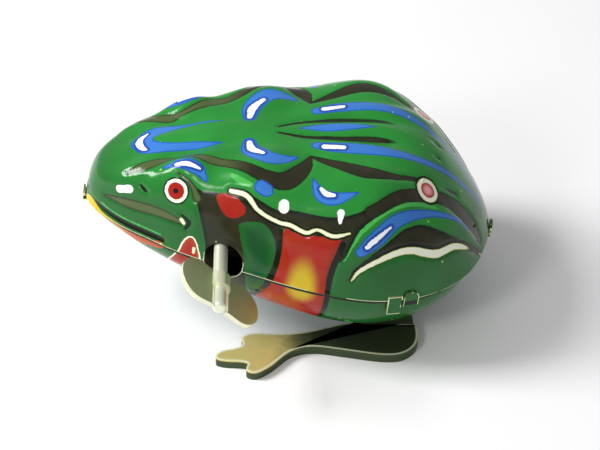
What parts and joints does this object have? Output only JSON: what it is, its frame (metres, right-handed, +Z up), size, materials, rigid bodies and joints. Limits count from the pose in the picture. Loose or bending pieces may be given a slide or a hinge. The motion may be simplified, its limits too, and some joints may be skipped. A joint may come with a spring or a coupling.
{
  "type": "wind-up jumping frog",
  "caption": "Printed tinplate frog that hops on webbed hind feet, driven by a key-wound spring, a gear train and a cam-pressed leg shaft.",
  "frame": {"origin": "on the floor, at the middle of the bounding box of the whole toy seen from above; the frog's own middle plane is the plane y = 4.17 mm", "axes": "+X from the nose to the tail, +Y from the key side to the other side, +Z up"},
  "size_m": [0.0789, 0.0648, 0.0391],
  "materials": {
    "printed_tin": "glossy lithographed print, green with blue, olive and cream markings",
    "printed_tin_belly": "glossy lithographed print, dark green with red and yellow patches",
    "frame_steel": "plain stamped steel",
    "spring_steel": "blued spring steel",
    "bright_steel": "bright turned steel",
    "key_tin": "bright tinned sheet",
    "brass": "stamped brass",
    "foot_tin": "bright tinned sheet with a yellowed lacquer"
  },
  "bodies": {
    "body": {"upper_shell": "printed_tin", "belly_shell": "printed_tin_belly", "left_plate": "frame_steel", "right_plate": "frame_steel", "post_1": "frame_steel", "post_2": "frame_steel", "post_3": "frame_steel", "post_4": "frame_steel", "mainspring": "spring_steel", "leg_spring": "spring_steel"},
    "winding": {"winding_arbor": "bright_steel", "winding_key": "key_tin", "arbor_collar": "brass", "ratchet_wheel": "frame_steel"},
    "great": {"great_wheel": "brass", "click": "spring_steel", "click_rivet": "bright_steel"},
    "second": {"second_arbor": "bright_steel", "second_pinion": "brass", "second_wheel": "brass"},
    "cam": {"cam_arbor": "bright_steel", "cam_pinion": "brass", "kick_cam": "frame_steel"},
    "legs": {"leg_shaft": "bright_steel", "left_spacer": "brass", "right_spacer": "brass", "kick_lever": "frame_steel", "left_leg": "foot_tin", "right_leg": "foot_tin"}
  },
  "joints": [
    {"name": "key_turn", "type": "hinge", "parent": "body", "child": "winding", "pos_m": [-0.0125, 0.00417, 0.02386], "axis": [0, 1, 0], "continuous": true, "deforming": ["mainspring", "click"]},
    {"name": "great_wheel_spin", "type": "hinge", "parent": "body", "child": "great", "pos_m": [-0.0125, 0.00417, 0.02386], "axis": [0, 1, 0], "continuous": true, "deforming": ["click"]},
    {"name": "second_spin", "type": "hinge", "parent": "body", "child": "second", "pos_m": [-0.00102, 0.00417, 0.02446], "axis": [0, 1, 0], "continuous": true},
    {"name": "cam_spin", "type": "hinge", "parent": "body", "child": "cam", "pos_m": [0.00864, 0.00417, 0.02187], "axis": [0, 1, 0], "continuous": true},
    {"name": "leg_kick", "type": "hinge", "parent": "body", "child": "legs", "pos_m": [0.02066, 0.00417, 0.01495], "axis": [0, -1, 0], "range_deg": [0, 15], "stiffness_Nm_per_rad": 0.02, "springref_deg": -17.19, "deforming": ["leg_spring"]}
  ],
  "couplings": [
    {"joint": "second_spin", "follows": "great_wheel_spin", "ratio": -4.75},
    {"joint": "cam_spin", "follows": "great_wheel_spin", "ratio": 19}
  ]
}
